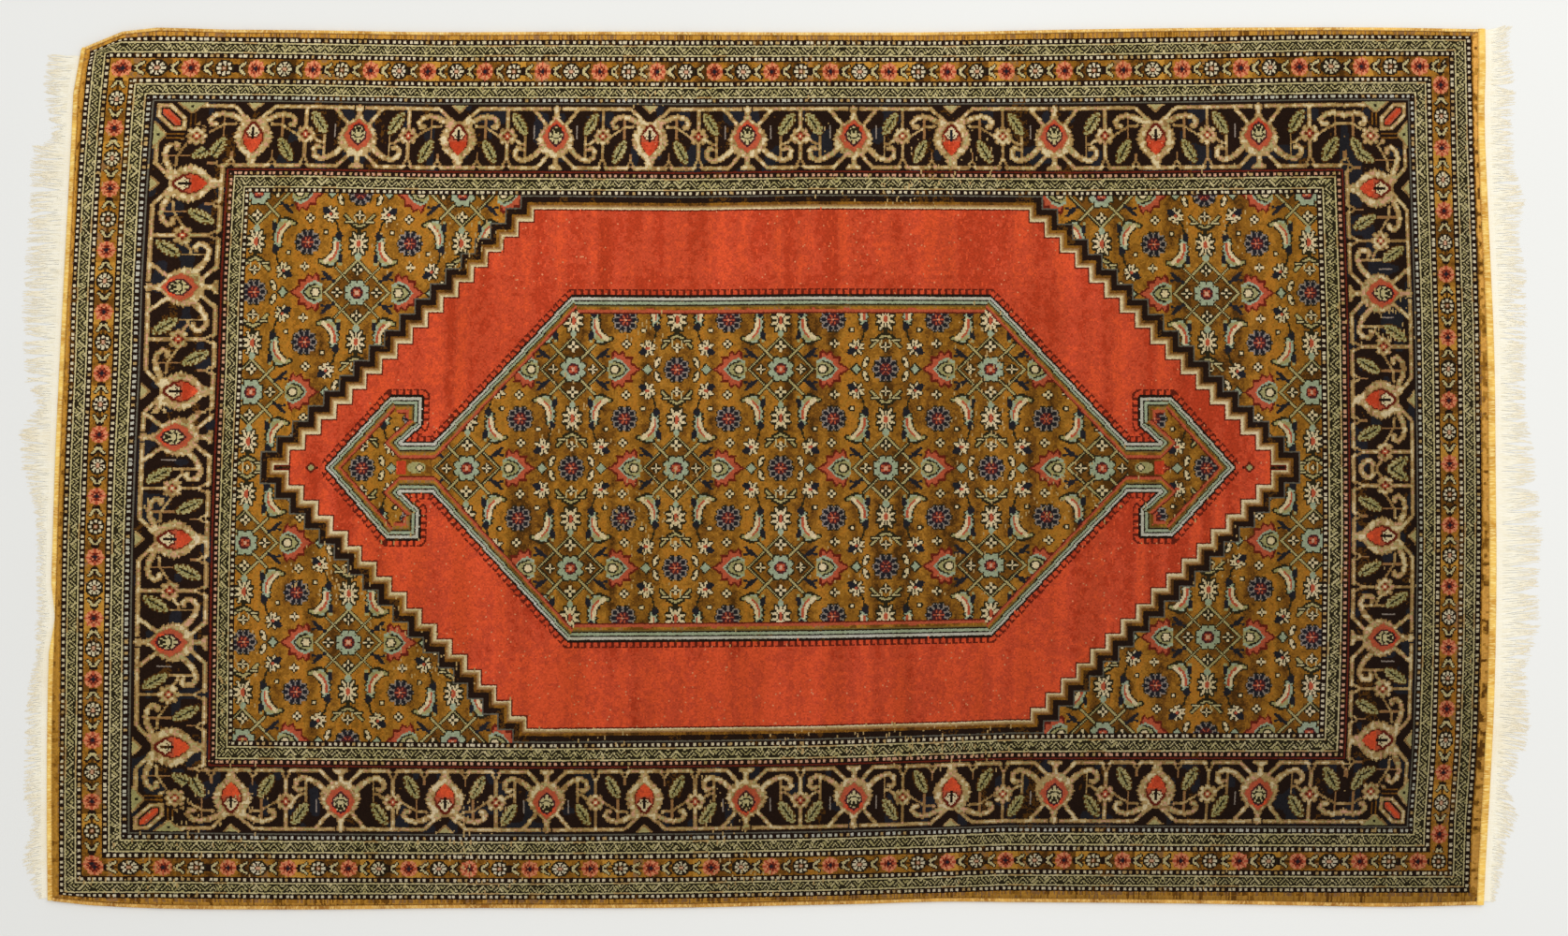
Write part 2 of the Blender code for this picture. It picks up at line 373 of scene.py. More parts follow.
WHITE_BODY = (
    (-1, 6.5), (2.5, 8), (5, 12), (9, 14.5), (13, 19), (15, 25), (14, 31), (9.5, 36),
    (5, 38.5), (-1, 40.5),
)
RING = ((-1, 10), (3.5, 14), (7, 16), (8, 19.5), (10.5, 23.5), (8, 28), (6.2, 31.5), (3.5, 32.5), (-1, 36))
WHITE_BUD = (
    ("plum", polygon, ((-1, 13), (2.6, 15.5), (6.4, 21), (6, 25), (3, 28.5), (-1, 32))),
    ("straw", polygon, ((-1, 14.6), (1.8, 16.4), (5, 21), (4.8, 24.4), (2.2, 27.6), (-1, 30.2))),
    ("dark green", box, 2.6, 3.8, 16, 21),
    ("dark green", line, ((0, 17), (0, 21)), 1.3),
    ("dark green", line, ((1.6, 16.5), (2.4, 21.5), (5, 24)), 1),
    ("dark green", line, ((0, 25), (3.5, 23.5)), 1.1),
    ("dark green", line, ((1.2, 26), (2.4, 29)), 1),
)
FLOWER_STEM = (
    ("tan", box, -1.3, 1.3, 3, 40),
    ("tan", line, ((0, 39), (-3.2, 45.5)), 1.8),
    ("black", polygon, ((-3.4, 49), (3.4, 49), (0, 44.6))),
)
BLOOM = (
    ("camel", petals, 8, 4.9, 2.4, 2),
    ("camel", disc, 5),
    ("dark red", petals, 4, 2.2, 1.3, 1.2),
    ("rose", disc, 1.9),
    ("cream", disc, 0.9),
)
CORNER_STEM = (
    ("tan", polygon, ((13, 0), (35, 0), (24, 9))),
    ("sage", polygon, ((16, 0.5), (32, 0.5), (24, 7))),
    ("brown", box, 22.5, 27.5, 8, 20),
    ("black", box, 24.4, 25.6, 8, 20),
)


def tie_leaf(part, x, y, degrees):
    """A sage leaf with a toothed edge, a dark outline and a dark midrib."""
    p, q = turned(x, y, degrees)
    notch = jagged(p, 1.3, 3.6) * np.sign(q)
    tie(part, p, q + notch * 0.6, ("umber", oval, 10.2, 5))
    tie(part, p, q + notch, ("sage", oval, 9.6, 4.4))
    tie(part, p, q + notch, ("meadow", oval, 9.6, 4.4), where=q > 1.2)
    tie(part, p, q, ("olive", oval, 8.4, 3.4), where=(p + np.abs(q)) % 3.6 < 1.1)
    tie(part, p, q, ("dark green", box, -6, 6, -0.6, 0.6))


def red_palmette(t, c):
    """A heart-shaped palmette."""
    part = np.full(t.shape, YARN["black"])
    tie(part, t, c, *RED_STRAPS, ("camel", line, RED_VOLUTE, 4.4, 3.4))
    tie_leaf(part, t - 24, c - 34.5, 62)
    tie(part, t, c, ("camel", toothed, RED_BODY), ("dark red", polygon, HEART))
    tie(part, t + 1, c - 0.4, ("rose", polygon, HEART))
    tie(part, t + 1, c - 0.4, ("brick red", polygon, HEART), where=c > 27)
    tie(part, t, c, *RED_BUD)
    return part


def white_palmette(t, c):
    """A rounder palmette with a white flower in it, crossed by straps above and below."""
    part = np.full(t.shape, YARN["black"])
    tie(part, t, c, *WHITE_STRAPS, ("camel", line, WHITE_VOLUTE, 4.4, 3.4))
    tie_leaf(part, t - 28, c - 14, -58)
    tie(part, t, c, ("camel", toothed, WHITE_BODY), ("rose", polygon, RING))
    tie(part, t + 1.6, c, ("brick red", polygon, RING), where=c < 20)
    tie(part, t, c, *WHITE_BUD)
    return part


def palmette_row(c, run, red, white, is_long):
    places = sorted([(place, True) for place in red] + [(place, False) for place in white])
    middles = np.array([place for place, _ in places], float)
    is_red = np.array([flag for _, flag in places])
    after = np.clip(np.searchsorted(middles, run), 1, len(middles) - 1)
    gap = middles[after] - middles[after - 1]
    nearest = np.argmin(np.abs(run[:, None] - middles[None, :]), axis=1)
    t = np.abs(run - middles[nearest])
    usual = (run > middles[0]) & (run < middles[-1]) & (gap > 60) & (gap < 90)
    t = np.where(usual, t * 2 * HALF_REPEAT / gap, t)
    over = t > HALF_REPEAT
    t = np.where(over, 2 * HALF_REPEAT - t, t)
    tail = is_long & (run > LAST_FLOWER)
    t = np.where(tail, HALF_REPEAT - np.minimum(run - LAST_FLOWER, np.abs(CORNER_FLOWER - run)), t)
    part = np.where((is_red[nearest] ^ over) | tail, red_palmette(t, c), white_palmette(t, c))
    tie(part, t - HALF_REPEAT, c, *FLOWER_STEM)
    tie(part, t - HALF_REPEAT, c - 23, *BLOOM)
    return part


def tie_corner(part, p, q):
    """A corner of the main border, from its two outer sides: a long red lozenge on the diagonal."""
    out, off = (p + q) / np.sqrt(2), (p - q) / np.sqrt(2)

    def long_lozenge(out, off, grown):
        return (np.abs(off) < 3.0 + grown) & (np.abs(out - 15.5) + np.abs(off) < 8.8 + 1.4 * grown)

    tie(part, p, q, ("black", box, -9, 30, -9, 30), where=p + q < 44)
    for x, y in ((p, q), (q, p)):
        tie(part, x, y, *CORNER_STEM[:2])
        tie(part, x - 24, y - 3, ("dark green", disc, 1.3))
        tie(part, x, y, *CORNER_STEM[2:])
    for yarn, grown in (("black", 5.2), ("camel", 4.0), ("black", 0.6), ("rose", -0.6)):
        tie(part, out, off, (yarn, long_lozenge, grown))
    tie(part, out, off, ("brick red", long_lozenge, -0.6), where=np.abs(off) < 1)
    tie(part, p - 28, q - 25, ("black", disc, 8), *BLOOM)


for side, (red, white) in PALMETTES.items():
    there = main_border & SIDES[side]
    is_long = side in ("top", "bottom")
    chart[there] = palmette_row(depth[there] - PALMETTE_START, run[there], red, white, is_long)
corner_end = PALMETTE_START + CORNER_SIZE
here = main_border & (end_depth < corner_end) & (side_depth < corner_end)
part = chart[here]
tie_corner(part, end_depth[here] - PALMETTE_START, side_depth[here] - PALMETTE_START)
chart[here] = part

# Straps and palmettes are darker at their edges and mottled inside

shape = main_border & np.isin(chart, (YARN["tan"], YARN["camel"]))
core = shape.copy()
core[1:] &= shape[:-1]
core[:-1] &= shape[1:]
core[:, 1:] &= shape[:, :-1]
core[:, :-1] &= shape[:, 1:]
chart[shape] = YARN["tan"]
chart[shape & (fine_drift > 0.6)] = YARN["camel"]
chart[core] = YARN["camel"]
for yarn, low, high in (("tan", 0, 0.14), ("meadow", 0.14, 0.26), ("pink", 0.3, 0.38), ("cream", 0.64, 1)):
    chart[core & (fine_drift >= low) & (fine_drift < high)] = YARN[yarn]
chart[main_border & (chart == YARN["black"]) & (mid_drift > 0.74)] = YARN["navy"]

# Field of flowers. The repeat is charted in a quarter of its blue diamond, from the blue rosette.

REPEAT_LONG = 151.5  # knots between two blue rosettes along the rug
REPEAT_HIGH = 144.0
FLORET = (
    ("dark green", lozenge, 4.9),
    ("cream", petals, 4, 2.3, 1.5, 0.95),
)
DARK_ROSETTE = (
    ("dark green", petals, 10, 6.9, 3.1, 2.7),
    ("grey", petals, 10, 6.7, 2.6, 2.3),
    ("navy", petals, 10, 6.7, 2, 1.5),
    ("plum", disc, 4.7),
    ("rose", petals, 6, 2.5, 1.4, 0.6),
    ("pink", disc, 0.9),
)
BLUE_ROSETTE = (
    ("dark green", petals, 8, 7, 3.4, 3.2, 22.5),
    ("sky", petals, 8, 6.6, 2.6, 2.5, 22.5),
    ("sky", disc, 6.9),
    ("plum", disc, 4.6),
    ("rose", box, -3, 3, -3, 3),
    ("dark red", petals, 4, 2.8, 1.3, 0.6),
    ("pink", box, -1.2, 1.2, -1.2, 1.2),
)
FAN_EDGE = (
    (27.5, -1), (27.5, 6), (28, 12), (30.5, 14.5), (33, 11.5), (36.5, 14), (38.5, 9.5), (43.5, 9.5),
    (43, 5), (50, 0), (50, -1),
)
FAN = (
    (28, -1), (28.5, 7), (30.5, 12.6), (33, 9.8), (36, 12), (38, 8), (42, 8), (41.8, 3.8), (47.6, 0),
    (47.6, -1),
)
FIELD_PALMETTE = (
    ("dark red", polygon, FAN_EDGE),
    ("rose", polygon, FAN),
    ("sky", polygon, ((25, -1), (26, 6), (31, 8.6), (36, 6.4), (41.6, 0), (41.6, -1))),
    ("sage", polygon, ((25, -1), (26, 4), (31, 6), (35, 4.4), (38, 0), (38, -1))),
    ("dark green", line, ((30, 6), (36, 4), (39, 0)), 1.3),
)
CREAM_PETALS = (
    ("dark green", petals, 10, 4.6, 3.5, 2, 18),
    ("cream", petals, 10, 4.5, 2.7, 0.8, 18),
)
LEAVES_UNDER = (
    ("dark green", line, ((0, 42), (0, 47)), 1.6),
    ("dark green", line, ((0, 47), (4.5, 49), (10.5, 55.5)), 5, 3.8),
    ("meadow", line, ((0.5, 47.6), (4.5, 49.6), (10.5, 55.8)), 1.5),
    ("dark green", line, ((4.4, 50.5), (10.2, 50.8)), 2.8),
    ("straw", line, ((4.8, 50.5), (9.6, 50.8)), 1),
    ("straw", line, ((3, 50.5), (4, 56)), 1),
)
LANCET = ((15.4, 38), (15, 32), (16.2, 26.5), (19.5, 22.5))
LANCET_TIP = (
    ("sage", line, ((18, 23.5), (23, 21.8), (27.4, 22.4)), 4.4, 2),
    ("cream", line, ((17, 36), (17.4, 31), (19.4, 26.5), (24, 22.5)), 2.4, 3.2),
    ("rose", line, ((15.6, 36), (15.6, 31), (17.4, 26.5), (20.5, 23.5)), 1.5),
    ("navy", line, ((13.2, 26), (12.6, 21.5)), 3.6, 2.6),
)
SPRIG = (
    ("dark green", petals, 7, 3.6, 3.1, 1.9),
    ("cream", petals, 7, 3.6, 2.4, 0.95),
)
DARK_LEAVES = (
    ("navy", line, ((17, 8), (21, 10.5), (26, 9.5)), 2.2, 1.6),
    ("navy", line, ((20.5, 10), (25.5, 15)), 4, 2),
)


def herati(x, y):
    """The repeat that fills the field: x and y count knots from a blue rosette."""
    part = np.full(x.shape, YARN["ochre"])
    x = np.abs((x + REPEAT_LONG / 2) % REPEAT_LONG - REPEAT_LONG / 2)
    y = np.abs((y + REPEAT_HIGH / 2) % REPEAT_HIGH - REPEAT_HIGH / 2)
    half_long, half_high = REPEAT_LONG / 2, REPEAT_HIGH / 2
    far = x / half_long + y / half_high > 1
    x = np.where(far, half_long - x, x)
    y = np.where(far, half_high - y, y)

    # the diamond, its spokes and its florets, and the blue rosette in it
    for low, high, yarn in ((-1, 21.5, "brown"), (21.4, 25.4, "dark green"), (22.7, 24.1, "meadow")):
        part[(x + y > low) & (x + y < high)] = YARN[yarn]
    for yarn, width in (("dark green", 2.8), ("meadow", 1.1)):
        tie(part, x, y, (yarn, line, ((6, 8), (16, 18)), width))
    tie(part, x - 14.5, y, *FLORET)
    tie(part, x, y - 16.5, *FLORET)
    tie(part, x, y, *BLUE_ROSETTE)

    # the red palmette, and the sprig between it and the dark rosette
    tie(part, x, y, *FIELD_PALMETTE)
    tie(part, x - 30.5, y, ("dark green", disc, 4), ("cream", disc, 2.6))
    tie(part, x - 54.5, y, ("dark green", lozenge, 4.6, 5), ("sky", lozenge, 3.2, 3.6))
    tie(part, x - 61.5, y - 5.2, ("dark green", oval, 4.6, 2.6, 70), ("cream", oval, 3.8, 1.5, 70))
    tie(part, x - 62.6, y - 5.2, ("dark green", disc, 1.1))
    for right, up in ((1, 0), (0, 1), (0.5, 0.5)):
        tie(part, x - half_long * right, y - half_high * up, *DARK_ROSETTE)

    # the cream flower, its bud, and the two leaves under it
    tie(part, x, (y - 35.5) * 0.72, *CREAM_PETALS)
    tie(part, x, y - 26, ("sky", disc, 2.4))
    tie(part, x, y - 35.5, ("rose", oval, 1.5, 3.2))
    tie(part, x, y, *LEAVES_UNDER)
    tie(part, x / 0.9, (y - 56) / 0.9, *FLORET)

    # the lancet leaf, its stalk and the small sprigs beside it
    scalloped = x - jagged(y, 1.5, 3.6)
    tie(part, scalloped, y, ("dark green", line, LANCET, 7, 10))
    tie(part, x, y, ("dark green", line, ((18, 23), (23.5, 21), (28, 22.5)), 6.4, 3.8))
    tie(part, scalloped, y, ("sky", line, LANCET, 4.4, 6.8))
    tie(part, x, y, *LANCET_TIP)
    tie(part, x - 13, y - 20.5, ("sage", disc, 1.2))
    tie(part, x - 14.6, y - 41, ("navy", oval, 2.6, 3.2))
    tie(part, x, y, ("dark green", line, ((15, 43), (16.6, 50), (20, 55)), 1.4))
    for at_x, at_y, side in ((54.5, 15.5, 1), (21.2, 56.5, -1)):
        tie(part, x - at_x, y - at_y, *SPRIG)
        tie(part, x - at_x + 3.4 * side, y - at_y + 2.4, ("navy", oval, 3.4, 2.4, 30))
        tie(part, x - at_x, y - at_y, ("rose", disc, 1.3))

    # small dark leaves and florets on the ground
    tie(part, x, y, *DARK_LEAVES)
    tie(part, (x - 39) / 0.9, (y - 18.5) / 0.9, *FLORET)
    tie(part, x - 24.5, y - 43.5, ("dark green", disc, 2.3), ("cream", disc, 1.2))
    return part


SPANDREL_ROSETTE = (311.5, 126.5)
MEDALLION_ROSETTE = (0.0, 71.5)
field = depth > BORDER_DEPTH
x, y = np.abs(along), np.abs(across)
chart[field] = herati(x[field] - SPANDREL_ROSETTE[0], y[field] - SPANDREL_ROSETTE[1])

# Red hexagon with stepped edges

HEXAGON_TOP = 187
STEP_LONG, STEP_HIGH, STEPS = 10.875, 11.07, 16
FIRST_STEP = (356, 12)  # how far the hexagon's tip reaches, and half its height there
EDGE_LINES = (  # how far out each line reaches, in knots
    (11, "slate"),
    (10, "black"),
    (6, "brown"),
    (4.5, "light brown"),
    (3.5, "camel"),
    (2.5, "cream"),
    (1, "dark red"),
    (0, "brick red"),
)


def in_hexagon(grown):
    """Which knots lie in the stepped hexagon, grown by a line's reach."""
    step = np.clip(np.ceil((y - grown - FIRST_STEP[1]) / STEP_HIGH), -1, STEPS)
    return field & (y - grown < HEXAGON_TOP) & (x - grown < FIRST_STEP[0] - step * STEP_LONG)


for grown, yarn in EDGE_LINES:
    chart[in_hexagon(grown)] = YARN[yarn]
chart[in_hexagon(0) & (x > FIRST_STEP[0])] = YARN["black"]

# Medallion

MEDALLION_HIGH = 124.5
MEDALLION = (
    (0, MEDALLION_HIGH), (153.5, MEDALLION_HIGH), (252, 18), (276, 18), (261.5, 31), (261.5, 51.5),
    (284.5, 51.5), (330, 0),
)
MEDALLION_LINES = (  # how far in each line starts
    (-1.4, "black"),
    (0, "silver"),
    (2.1, "black"),
    (3.1, "sky"),
    (5.1, "black"),
    (6.2, "olive"),
    (7.2, "gold"),
    (9.0, "rose"),
    (11.2, "dark red"),
)
MEDALLION_FIELD = 12.4
MEDALLION_ZONE = (345, 140)  # knots from the middle that take in the medallion with its hooks
HOOK_STEP = 5.0
HOOK_REACH = 5.5
STRETCH = ((-340, -228, 0, 153, 234, 340), (-339, -227.3, 0, 151.5, 227.3, 333))  # on the rug, repeat


def edge_distance(x, y, corners):
    """How many knots off the outline, counted along and across and straight, and how far on round it."""
    nearest = np.full(x.shape, 1e9)
    counted = np.zeros(x.shape)
    run_at = np.zeros(x.shape)
    done = 0.0
    for (ax, ay), (bx, by) in zip(corners, corners[1:]):
        run_x, run_y = bx - ax, by - ay
        length = np.hypot(run_x, run_y)
        share = np.clip(((x - ax) * run_x + (y - ay) * run_y) / length**2, 0, 1)
        off_x, off_y = x - ax - share * run_x, y - ay - share * run_y
        away = np.hypot(off_x, off_y)
        closer = away < nearest
        run_at = np.where(closer, done + share * length, run_at)
        counted = np.where(closer, np.abs(off_x) + np.abs(off_y), counted)
        nearest = np.where(closer, away, nearest)
        done += length
    return counted, nearest, run_at


near = (x < MEDALLION_ZONE[0]) & (y < MEDALLION_ZONE[1])
x, y = x[near], y[near]
inside = polygon(x, y, ((-1, -1), (-1, MEDALLION_HIGH)) + MEDALLION + ((330, -1),))
counted, straight, run_at = edge_distance(x, y, MEDALLION)
away = np.where(inside, counted, -straight)
part = chart[near]
hook = run_at % HOOK_STEP
hooks = (away > -HOOK_REACH) & (away < 0) & (hook < 1.6)
hooks |= (away > -HOOK_REACH) & (away < -HOOK_REACH + 1.4) & (hook < 3.6)
part[hooks] = YARN["dark red"]
for start, yarn in MEDALLION_LINES:
    part[away > start] = YARN[yarn]
stretched = np.interp(along[near], *STRETCH)
flowers = herati(stretched - MEDALLION_ROSETTE[0], across[near] - MEDALLION_ROSETTE[1])
tie(flowers, x, y, ("brown", box, 253, 279.5, -1, 5.6), ("madder", box, 272, 279.5, -1, 4.6))
tie(flowers, x - 264.5, y, ("sage", oval, 7, 4))
tie(flowers, x - 262, y, ("dark green", lozenge, 3.4), ("cream", lozenge, 2.2))
part = np.where(away > MEDALLION_FIELD, flowers, part)
tie(part, x, y, ("black", box, 335.5, 346, -1, 1.1))
tie(part, x - 341, y, ("dark red", lozenge, 4.4), ("sage", lozenge, 2.6))
chart[near] = part

# The dyer's tones: yarn of one colour is never quite even, and it was tied in as it came

TONES = {  # for each yarn: other yarns that stand in for it, by a random field from low to high
    "ochre": ((0.14, "umber"), (0.34, "brown"), (0.60, "ochre"), (0.76, "gold"), (1.01, "orange")),
    "brown": ((0.34, "umber"), (0.66, "brown"), (1.01, "ochre")),
    "brick red": ((0.36, "madder"), (0.66, "brick red"), (1.01, "pale red")),
    "gold": ((0.30, "brown"), (0.48, "ochre"), (0.75, "gold"), (1.01, "light brown")),
    "black": ((0.84, "black"), (1.01, "umber")),
}
tone = 0.46 * drift(8, 130, 21) + 0.16 * drift(13, 17, 22) + 0.26 * fine_drift + 0.12 * stray
tone = (tone - 0.5) * 1.7 + 0.5 + (field & ~near) * 0.14
tone -= field * along / 5000 + (chart == YARN["brick red"]) * across / 1100
tied = chart.copy()
for name, stand_ins in TONES.items():
    low = -9.0
    for high, other in stand_ins:
        tied[(chart == YARN[name]) & (tone >= low) & (tone < high)] = YARN[other]
        low = high
chart = tied

# Where the pile is worn, the ends of the cotton foundation show through as pale specks

SPECKS = 15000
chance = np.random.default_rng(9)
speck_rows = chance.integers(6, KNOT_ROWS - 8, SPECKS)
speck_columns = chance.integers(6, KNOT_COLUMNS - 6, SPECKS)
speck_knots = chance.integers(1, 4, SPECKS)
worn = drift(60, 60, 13) + 0.25 * chance.uniform(size=chart.shape)
reds = np.isin(chart, [YARN[name] for name in ("brick red", "madder", "pale red")])
for row, column, knots in zip(speck_rows, speck_columns, speck_knots):
    if reds[row, column] and worn[row, column] > 0.52:
        chart[row : row + knots, column] = YARN["salmon" if knots < 2 else "pale red"]
    elif worn[row, column] > 0.92:
        chart[row : row + knots, column] = YARN["camel"]

# Where the chart's knots lie on the rug. It was woven by hand, so its stripes are not quite straight.

TABLE_MIDDLE = (1.14, 6.15)  # the tables count from here in the frame, in mm
KNOTS_IN = (0, 5, 21, 35, 51, 53, 102, 103, 120)  # depths from the rug's edge, in knots
PLACES_IN = {  # and where these depths lie, in mm, halfway along each side; the last is the middle
    "left": (-1082, -1074.5, -1039.5, -1010, -971.5, -965, -852.5, -848, -815, 0),
    "right": (1058, 1048.5, 1014, 988, 953, 950.5, 852.5, 850, 810.5, 0),
    "top": (645.4, 633.5, 601, 572, 539, 536, 438, 435.5, 402, -5),
    "bottom": (-659.5, -651, -617.5, -591, -553.5, -550, -452, -449.5, -413, -5),
}
END_LEAN = {  # across the rug, and how far the end's stripes lean along it, in mm
    "left": (
        (-636, -5.6), (-482, -5.6), (-370, -3.9), (-230, -2.5), (-104, -0.3), (22, 4.2), (148, 10.1),
        (274, 13.7), (400, 20.7), (526, 30), (582, 35.7), (624, 40.6),
    ),
    "right": (
        (-636, -18.2), (-545, -15.4), (-482, -10.6), (-419, -6.4), (-293, -2.5), (-104, 0), (22, -0.8),
        (211, -3.4), (337, -7.6), (463, -12), (624, -15.4),
    ),
}
SIDE_SAG = {  # along the rug, and how far the outer and the inner stripes sag, in mm up
    "top": (
        (-930, 7.3, 4.2), (-734, 3.9, 4.2), (-538, 0.8, 0.6), (-342, 1.4, 0), (-146, 0.8, -1.4),
        (50, 0.6, 1.4), (246, 0.3, 0.6), (442, 3.4, -1.1), (638, 6.2, 0.3), (834, 10.4, 2.5),
    ),
    "bottom": (
        (-930, 1.7, 0.8), (-734, -0.3, -0.8), (-538, -0.3, -2.5), (-342, -0.6, -3.9), (-146, 1.1, -2.2),
        (50, 4.5, 0.6), (246, 9.8, 6.4), (344, 13.2, 9.8), (540, 11.5, 10.9), (834, 9.8, 11.2),
    ),
}


def column_at(rows, at, column=1):
    """A table's column at places that its first column gives, in a straight line from row to row."""
    return np.interp(at, [row[0] for row in rows], [row[column] for row in rows])


def stripe_place(side, half, knots):
    return np.interp(half - np.abs(knots), KNOTS_IN + (half,), PLACES_IN[side])


def woven_place(u, v):
    """Where a point of the chart lies on the rug, in mm."""
    x = np.where(u < 0, *(stripe_place(side, HALF_COLUMNS, u) for side in ("left", "right")))
    y = np.where(v > 0, *(stripe_place(side, HALF_ROWS, v) for side in ("top", "bottom")))
    lean = np.where(u < 0, *(column_at(END_LEAN[side], y) for side in ("left", "right")))
    outer = np.clip((HALF_ROWS - np.abs(v)) / BORDER_DEPTH, 0, 1)
    inner = np.clip(np.abs(v) / (HALF_ROWS - BORDER_DEPTH), 0, 1)
    sag = (
        (1 - outer) * column_at(SIDE_SAG[side], x, 1) + outer * inner * column_at(SIDE_SAG[side], x, 2)
        for side in ("top", "bottom")
    )
    y = y + np.where(v > 0, *sag)
    x = x + lean * np.clip(np.abs(u) / (HALF_COLUMNS - BORDER_DEPTH), 0, 1)
    return x + TABLE_MIDDLE[0], y + TABLE_MIDDLE[1]


CORNER_WAYS = {"bottom left": (-1, -1), "bottom right": (1, -1), "top right": (1, 1), "top left": (-1, 1)}


def outline_sides(node):
    """The CAD body's outline on the floor, as four runs of points in mm from corner to corner."""
    points = np.array([vert.co for vert in node.data.vertices])
    points = np.unique(np.round(points[points[:, 2] < 0.1 * MM, :2] / MM, 3), axis=0)
    middle = (points.max(axis=0) + points.min(axis=0)) / 2
    turn = np.arctan2(points[:, 1] - middle[1], points[:, 0] - middle[0])
    loop = points[np.argsort(turn)]
    corners = {name: int(np.argmax(loop @ np.array(way))) for name, way in CORNER_WAYS.items()}

    def between(first, last):
        count = (corners[last] - corners[first]) % len(loop)
        return np.array([loop[(corners[first] + i) % len(loop)] for i in range(count + 1)])

    return {
        "bottom": between("bottom left", "bottom right"),
        "right": between("bottom right", "top right")[:, ::-1],
        "top": between("top right", "top left")[::-1],
        "left": between("top left", "bottom left")[::-1, ::-1],
    }


outline = outline_sides(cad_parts["rug_body"])
PILE_HEIGHT = 8.0
PILE_RIPPLE = 0.5
SHOULDER_HEIGHT = 5.5
SHOULDER_KNOTS = 1.2  # the pile rounds over within this of the edge
EDGE_ROOM = 26  # knots in from the edge that keep a millimetre each to themselves
BLOCK = 4  # knots to a face of the mesh, each way


def fit_outline(x, y, u, v):
    """Keeps the chart's outer knots inside the CAD outline, and puts its edge on the outline."""
    knots_in_x = HALF_COLUMNS - np.abs(u)
    knots_in_y = HALF_ROWS - np.abs(v)
    clear_x = np.minimum(knots_in_x, EDGE_ROOM)
    clear_y = np.minimum(knots_in_y, EDGE_ROOM)
    for _ in range(3):
        left, right = (np.interp(y, *outline[side].T) for side in ("left", "right"))
        x = np.clip(x, left + clear_x, right - clear_x)
        x = np.where(knots_in_x == 0, np.where(u < 0, left, right), x)
        bottom, top = (np.interp(x, *outline[side].T) for side in ("bottom", "top"))
        y = np.clip(y, bottom + clear_y, top - clear_y)
        y = np.where(knots_in_y == 0, np.where(v < 0, bottom, top), y)
    return x, y


def pile_height(x, y):
    long_waves = np.sin(0.009 * x + 0.0015 * y)
    short_waves = np.sin(0.005 * x - 0.007 * y)
    return PILE_HEIGHT + PILE_RIPPLE * (0.6 * long_waves + 0.4 * short_waves)


def new_piece(name, shape, node):
    """A finished piece of this shape, which stands for a CAD node."""
    bmesh.ops.recalc_face_normals(shape, faces=shape.faces)
    mesh = bpy.data.meshes.new(name)
    shape.to_mesh(mesh)
    shape.free()
    made = bpy.data.objects.new(name, mesh)
    bpy.context.scene.collection.objects.link(made)
    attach(made, "root")
    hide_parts(node)
    return made


shape = bmesh.new()
bmesh.ops.create_grid(shape, x_segments=KNOT_COLUMNS // BLOCK, y_segments=KNOT_ROWS // BLOCK, size=1.0)
for vert in shape.verts:
    vert.co.x *= HALF_COLUMNS
    vert.co.y *= HALF_ROWS
for half, normal in ((HALF_COLUMNS, (1, 0, 0)), (HALF_ROWS, (0, 1, 0))):
    for side in (-1, 1):
        cut = side * (half - SHOULDER_KNOTS)
        bmesh.ops.bisect_plane(
            shape,
            geom=shape.verts[:] + shape.edges[:] + shape.faces[:],
            plane_co=(cut * normal[0], cut * normal[1], 0),
            plane_no=normal,
        )
knot_place = shape.loops.layers.uv.new("knots")
for face in shape.faces:
    for loop in face.loops:
        loop[knot_place].uv = (loop.vert.co.x + HALF_COLUMNS, loop.vert.co.y + HALF_ROWS)

under_verts = shape.verts[:]
raised = bmesh.ops.extrude_face_region(shape, geom=shape.faces[:])["geom"]
top_verts = [part for part in raised if isinstance(part, bmesh.types.BMVert)]
for verts, is_top in ((under_verts, False), (top_verts, True)):
    u, v = np.array([vert.co.xy for vert in verts]).T
    x, y = fit_outline(*woven_place(u, v), u, v)
    on_edge = (np.abs(u) > HALF_COLUMNS - 0.01) | (np.abs(v) > HALF_ROWS - 0.01)
    z = np.where(on_edge, SHOULDER_HEIGHT, pile_height(x, y)) * is_top
    for vert, place in zip(verts, np.stack([x, y, z], axis=1) * MM):
        vert.co = place
rug_pile = new_piece("rug_pile", shape, "rug_body")

# Each face carries the yarn numbers of its 16 knots: a number for each of its four rows.

YARN_BASE = 32
pile_mesh = rug_pile.data
corner_knots = np.empty(len(pile_mesh.loops) * 2, np.float32)
pile_mesh.uv_layers["knots"].uv.foreach_get("vector", corner_knots)
corner_knots = np.clip(corner_knots.reshape(-1, 2), 0.4, (KNOT_COLUMNS - 0.4, KNOT_ROWS - 0.4))
corner_knots = corner_knots.astype(np.float32)
pile_mesh.uv_layers["knots"].uv.foreach_set("vector", corner_knots.ravel())
first_corner, corner_count = np.empty((2, len(pile_mesh.polygons)), np.int32)
pile_mesh.polygons.foreach_get("loop_start", first_corner)
pile_mesh.polygons.foreach_get("loop_total", corner_count)
block = (np.add.reduceat(corner_knots, first_corner) / corner_count[:, None] // BLOCK).astype(int) * BLOCK
packed = np.zeros((len(first_corner), 4), np.float32)
for row in range(BLOCK):
    for column in range(BLOCK):
        packed[:, row] += chart[block[:, 1] + row, block[:, 0] + column] * float(YARN_BASE**column)
pile_mesh.attributes.new("yarns", "FLOAT_COLOR", "FACE").data.foreach_set("color", packed.ravel())


def feed(socket, term):
    """Gives a socket its source, or its value."""
    if isinstance(term, bpy.types.NodeSocket):
        socket.id_data.links.new(term, socket)
    elif term is not None:
        socket.default_value = term


